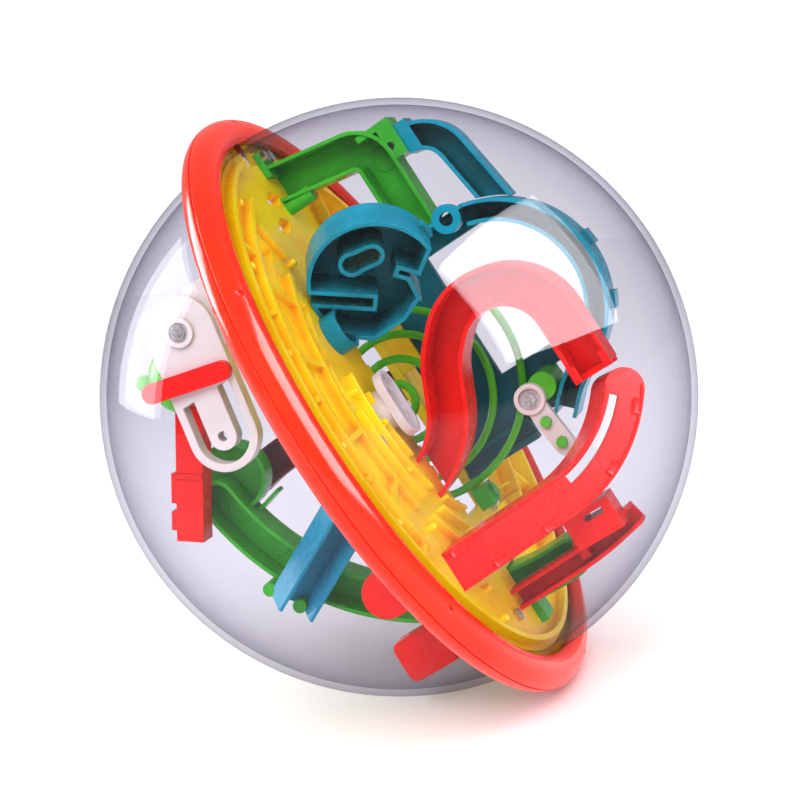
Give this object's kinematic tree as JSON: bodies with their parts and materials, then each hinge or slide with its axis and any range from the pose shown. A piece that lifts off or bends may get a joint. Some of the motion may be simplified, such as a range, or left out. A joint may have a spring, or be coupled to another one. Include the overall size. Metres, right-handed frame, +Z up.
{
  "type": "maze ball puzzle",
  "caption": "Clear plastic ball with a raised red rim, a yellow centre deck and interlocking coloured tracks, tipped onto a table, with a steel ball that rolls along a lane when it is turned.",
  "frame": {"origin": "middle of the bounding box's lower face, on the table straight below the sphere's centre", "axes": "+Z up; -Y towards the viewer of the open front; +X to the viewer's right; the rim's axis lies in the XZ plane, 64 degrees from +Z"},
  "size_m": [0.178, 0.1968, 0.178],
  "materials": {
    "clear_shell": "clear, glossy",
    "rim_red": "glossy",
    "deck_yellow": "glossy",
    "ruby_red": "glossy",
    "dark_red": "glossy",
    "leaf_green": "glossy",
    "deep_green": "glossy",
    "sea_teal": "glossy",
    "deep_teal": "glossy",
    "sky_blue": "glossy",
    "milk_white": "milky, glossy",
    "screw_steel": "zinc plated",
    "ball_steel": "polished"
  },
  "bodies": {
    "maze": {"upper_shell": "clear_shell", "lower_shell": "clear_shell", "ring_upper": "rim_red", "ring_lower": "rim_red", "ring_screws": "screw_steel", "centre_deck": "deck_yellow", "deck_screws": "screw_steel", "centre_cup": "milk_white", "green_spiral": "leaf_green", "spiral_foot": "deep_green", "teal_backboard": "deep_teal", "teal_hood": "sea_teal", "teal_arch": "sea_teal", "green_gate": "deep_green", "gate_screws": "screw_steel", "teal_s_track": "sea_teal", "red_c_track": "ruby_red", "red_slide": "ruby_red", "red_rail": "ruby_red", "green_bracket": "leaf_green", "white_link_arm": "milk_white", "link_screw": "screw_steel", "green_half_ring": "deep_green", "teal_bridge": "sky_blue", "white_hairpin_track": "milk_white", "hairpin_screw": "screw_steel", "red_cross_bar": "ruby_red", "red_pillar": "ruby_red", "green_bowl": "leaf_green", "red_chute": "dark_red", "red_foot": "ruby_red", "red_tab": "ruby_red"},
    "ball": {"steel_ball": "ball_steel"}
  },
  "joints": [
    {"name": "ball_roll", "type": "hinge", "parent": "maze", "child": "ball", "pos_m": [0.00686, -0.0015, 0.10458], "axis": [0, -1, 0], "range_deg": [-48, 24]}
  ]
}
